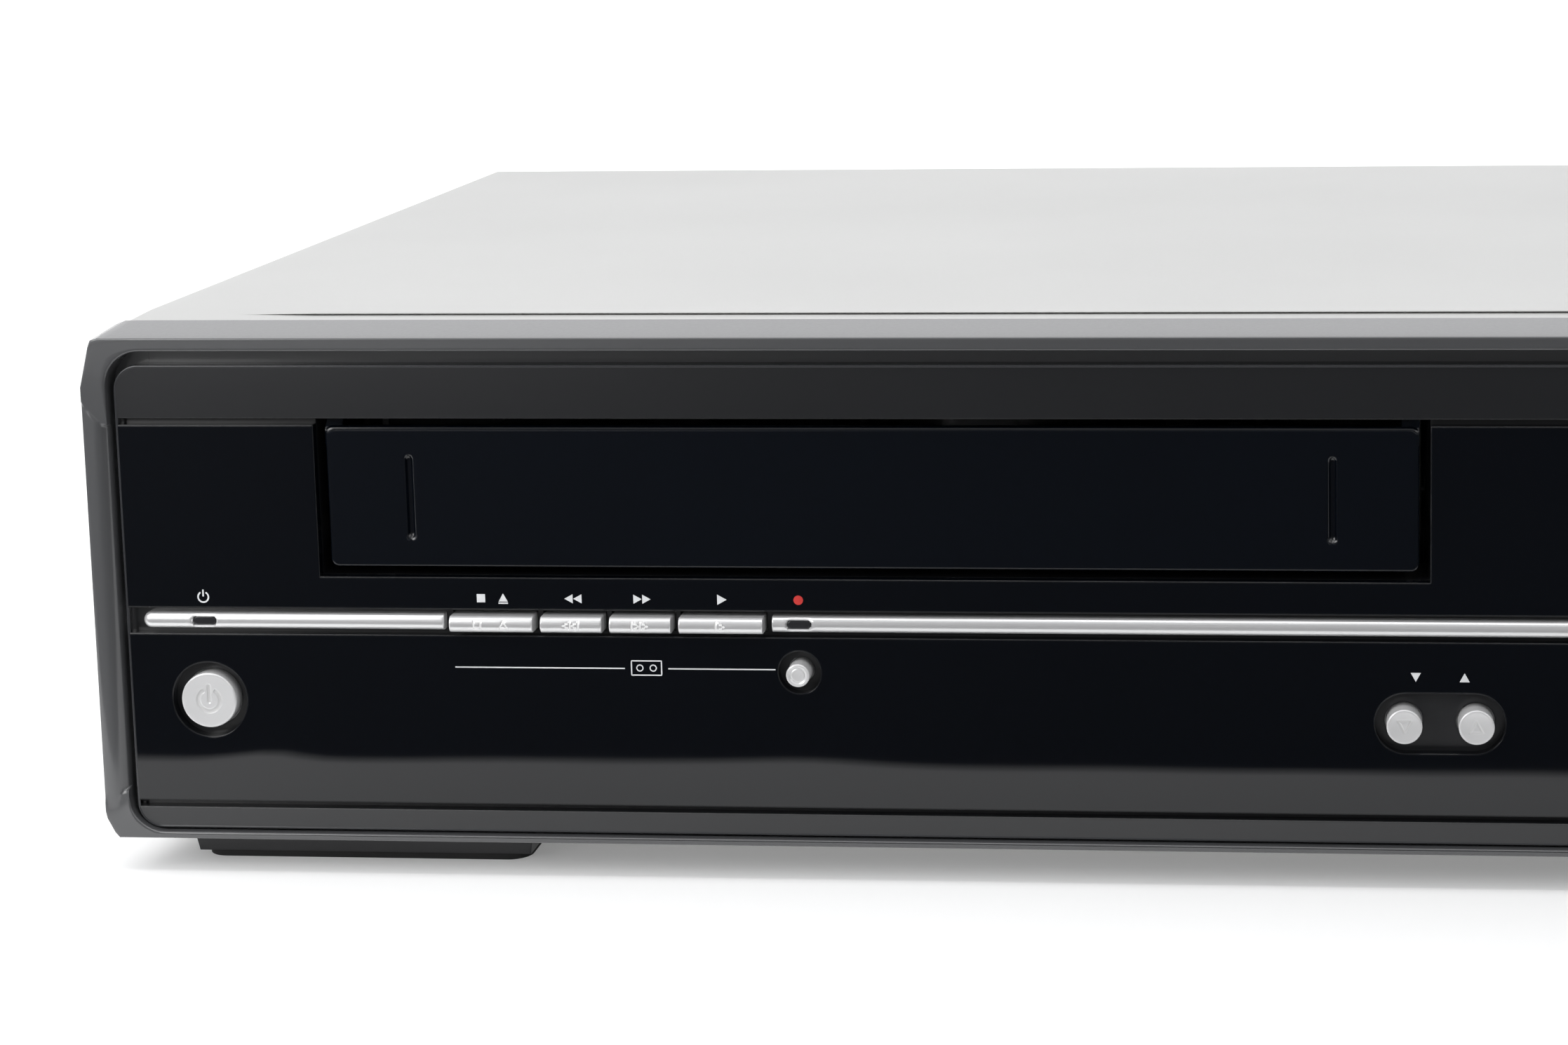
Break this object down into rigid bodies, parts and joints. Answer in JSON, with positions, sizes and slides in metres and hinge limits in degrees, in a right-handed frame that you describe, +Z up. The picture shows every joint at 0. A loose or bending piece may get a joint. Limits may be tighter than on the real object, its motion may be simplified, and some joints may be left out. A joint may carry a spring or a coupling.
{
  "type": "disc and cassette combo recorder",
  "caption": "Low black recorder with a wide cassette opening behind a swing-in flap, a disc drawer, a row of silver keys in a channel and a pale sheet cover.",
  "frame": {"origin": "centre of the part's box, on the floor", "axes": "X to the right along the front, the front faces -Y, Z up"},
  "size_m": [0.4362, 0.275, 0.0995],
  "materials": {
    "frame_plastic": "satin",
    "panel_plastic": "satin",
    "gloss_panel": "gloss",
    "smoked_window": "gloss",
    "display_glass": "gloss",
    "silver_trim": "satin",
    "silver_keys": "satin",
    "clear_lens": "gloss",
    "circuit_board": "satin",
    "black_plastic": "satin",
    "white_plastic": "satin",
    "flap_plastic": "gloss",
    "door_plastic": "gloss",
    "zinc_steel": "satin",
    "bright_steel": "polished",
    "drum_aluminium": "polished",
    "cover_paint": "satin",
    "foot_plastic": "satin",
    "pad_rubber": "matte"
  },
  "bodies": {
    "case": {"front_bezel": "frame_plastic", "fascia_body": "panel_plastic", "gloss_upper": "gloss_panel", "gloss_lower": "gloss_panel", "display_window": "smoked_window", "display_tube": "display_glass", "strip_ends": "silver_trim", "strip_middle": "silver_trim", "indicator_lenses": "clear_lens", "front_board": "circuit_board", "front_jacks": "black_plastic", "chassis": "zinc_steel", "top_cover": "cover_paint", "cover_screws": "zinc_steel", "feet": "foot_plastic", "foot_pads": "pad_rubber", "deck_plate": "zinc_steel", "drum_base": "drum_aluminium", "tape_guides": "bright_steel", "loading_motor": "bright_steel", "carriage_frame": "zinc_steel", "drive_frame": "black_plastic", "traverse": "zinc_steel", "clamp_bridge": "zinc_steel", "main_board": "circuit_board", "power_board": "circuit_board", "tuner": "zinc_steel", "rear_sockets": "black_plastic", "mains_inlet": "black_plastic", "fan_frame": "black_plastic", "rear_panel": "zinc_steel"},
    "flap": {"cassette_flap": "flap_plastic"},
    "supply_reel": {"supply_reel": "black_plastic"},
    "takeup_reel": {"takeup_reel": "black_plastic"},
    "drum": {"drum_upper": "drum_aluminium"},
    "capstan": {"capstan": "bright_steel"},
    "pinch_arm": {"pinch_arm": "zinc_steel"},
    "pinch_roller": {"pinch_roller": "pad_rubber"},
    "trolley": {"carriage_trolley": "zinc_steel"},
    "carriage": {"cassette_carriage": "zinc_steel"},
    "drawer": {"disc_tray": "black_plastic", "tray_front": "door_plastic"},
    "pinion": {"drawer_pinion": "white_plastic"},
    "spindle": {"spindle": "black_plastic"},
    "pickup": {"pickup": "black_plastic"},
    "clamp_puck": {"clamp_puck": "white_plastic"},
    "fan_rotor": {"fan_rotor": "black_plastic"},
    "stop_eject_key": {"stop_eject_key": "silver_keys"},
    "rewind_key": {"rewind_key": "silver_keys"},
    "forward_key": {"forward_key": "silver_keys"},
    "play_key": {"play_key": "silver_keys"},
    "disc_open_key": {"disc_open_key": "silver_keys"},
    "disc_stop_key": {"disc_stop_key": "silver_keys"},
    "disc_skip_key": {"disc_skip_key": "silver_keys"},
    "disc_play_key": {"disc_play_key": "silver_keys"},
    "power_button": {"power_button": "silver_keys"},
    "record_button": {"record_button": "silver_keys"},
    "disc_record_button": {"disc_record_button": "silver_keys"},
    "program_down_button": {"program_down_button": "silver_keys"},
    "program_up_button": {"program_up_button": "silver_keys"}
  },
  "joints": [
    {"name": "flap_hinge", "type": "hinge", "parent": "case", "child": "flap", "pos_m": [-0.07775, -0.1312, 0.0854], "axis": [1, 0, 0], "range_deg": [0, 88], "stiffness_Nm_per_rad": 0.004, "springref_deg": -17.19},
    {"name": "press_stop_eject_key", "type": "slide", "parent": "case", "child": "stop_eject_key", "axis": [0, 1, 0], "range_m": [0, 0.0008], "stiffness_N_per_m": 600, "springref_m": -0.0004},
    {"name": "press_rewind_key", "type": "slide", "parent": "case", "child": "rewind_key", "axis": [0, 1, 0], "range_m": [0, 0.0008], "stiffness_N_per_m": 600, "springref_m": -0.0004},
    {"name": "press_forward_key", "type": "slide", "parent": "case", "child": "forward_key", "axis": [0, 1, 0], "range_m": [0, 0.0008], "stiffness_N_per_m": 600, "springref_m": -0.0004},
    {"name": "press_play_key", "type": "slide", "parent": "case", "child": "play_key", "axis": [0, 1, 0], "range_m": [0, 0.0008], "stiffness_N_per_m": 600, "springref_m": -0.0004},
    {"name": "press_disc_open_key", "type": "slide", "parent": "case", "child": "disc_open_key", "axis": [0, 1, 0], "range_m": [0, 0.0008], "stiffness_N_per_m": 600, "springref_m": -0.0004},
    {"name": "press_disc_stop_key", "type": "slide", "parent": "case", "child": "disc_stop_key", "axis": [0, 1, 0], "range_m": [0, 0.0008], "stiffness_N_per_m": 600, "springref_m": -0.0004},
    {"name": "press_disc_skip_key", "type": "slide", "parent": "case", "child": "disc_skip_key", "axis": [0, 1, 0], "range_m": [0, 0.0008], "stiffness_N_per_m": 600, "springref_m": -0.0004},
    {"name": "press_disc_play_key", "type": "slide", "parent": "case", "child": "disc_play_key", "axis": [0, 1, 0], "range_m": [0, 0.0008], "stiffness_N_per_m": 600, "springref_m": -0.0004},
    {"name": "press_power_button", "type": "slide", "parent": "case", "child": "power_button", "axis": [0, 1, 0], "range_m": [0, 0.0008], "stiffness_N_per_m": 600, "springref_m": -0.0004},
    {"name": "press_record_button", "type": "slide", "parent": "case", "child": "record_button", "axis": [0, 1, 0], "range_m": [0, 0.0008], "stiffness_N_per_m": 600, "springref_m": -0.0004},
    {"name": "press_disc_record_button", "type": "slide", "parent": "case", "child": "disc_record_button", "axis": [0, 1, 0], "range_m": [0, 0.0008], "stiffness_N_per_m": 600, "springref_m": -0.0004},
    {"name": "press_program_down_button", "type": "slide", "parent": "case", "child": "program_down_button", "axis": [0, 1, 0], "range_m": [0, 0.0008], "stiffness_N_per_m": 600, "springref_m": -0.0004},
    {"name": "press_program_up_button", "type": "slide", "parent": "case", "child": "program_up_button", "axis": [0, 1, 0], "range_m": [0, 0.0008], "stiffness_N_per_m": 600, "springref_m": -0.0004},
    {"name": "supply_turn", "type": "hinge", "parent": "case", "child": "supply_reel", "pos_m": [-0.12375, -0.0248, 0.0232], "axis": [0, 0, 1], "continuous": true},
    {"name": "takeup_turn", "type": "hinge", "parent": "case", "child": "takeup_reel", "pos_m": [-0.03175, -0.0248, 0.0232], "axis": [0, 0, 1], "continuous": true},
    {"name": "drum_turn", "type": "hinge", "parent": "case", "child": "drum", "pos_m": [-0.07775, 0.0592, 0.0232], "axis": [0, 0.104, 0.9946], "continuous": true},
    {"name": "capstan_turn", "type": "hinge", "parent": "case", "child": "capstan", "pos_m": [-0.01775, 0.0352, 0.0232], "axis": [0, 0, 1], "continuous": true},
    {"name": "pinch_swing", "type": "hinge", "parent": "case", "child": "pinch_arm", "pos_m": [0.00225, 0.0432, 0.0232], "axis": [0, 0, 1], "range_deg": [0, 25], "stiffness_Nm_per_rad": 0.02},
    {"name": "roller_turn", "type": "hinge", "parent": "pinch_arm", "child": "pinch_roller", "pos_m": [-0.01209, 0.04759, 0.0347], "axis": [0, 0, 1], "continuous": true},
    {"name": "trolley_run", "type": "slide", "parent": "case", "child": "trolley", "axis": [0, 1, 0], "range_m": [0, 0.055]},
    {"name": "carriage_sink", "type": "slide", "parent": "trolley", "child": "carriage", "axis": [0, 0, -1], "range_m": [0, 0.026]},
    {"name": "drawer_run", "type": "slide", "parent": "case", "child": "drawer", "axis": [0, -1, 0], "range_m": [0, 0.135]},
    {"name": "pinion_turn", "type": "hinge", "parent": "case", "child": "pinion", "pos_m": [0.1735, -0.1068, 0.0665], "axis": [0, 0, -1], "range_deg": [0, 970]},
    {"name": "spindle_turn", "type": "hinge", "parent": "case", "child": "spindle", "pos_m": [0.1205, -0.0529, 0.0712], "axis": [0, 0, 1], "continuous": true},
    {"name": "pickup_run", "type": "slide", "parent": "case", "child": "pickup", "axis": [0, 1, 0], "range_m": [0, 0.023]},
    {"name": "puck_turn", "type": "hinge", "parent": "case", "child": "clamp_puck", "pos_m": [0.1205, -0.0529, 0.084], "axis": [0, 0, 1], "continuous": true},
    {"name": "fan_turn", "type": "hinge", "parent": "case", "child": "fan_rotor", "pos_m": [0.1575, 0.1222, 0.0386], "axis": [0, 1, 0], "continuous": true}
  ],
  "couplings": [
    {"joint": "pinion_turn", "follows": "drawer_run", "rad_per_m": 125}
  ]
}
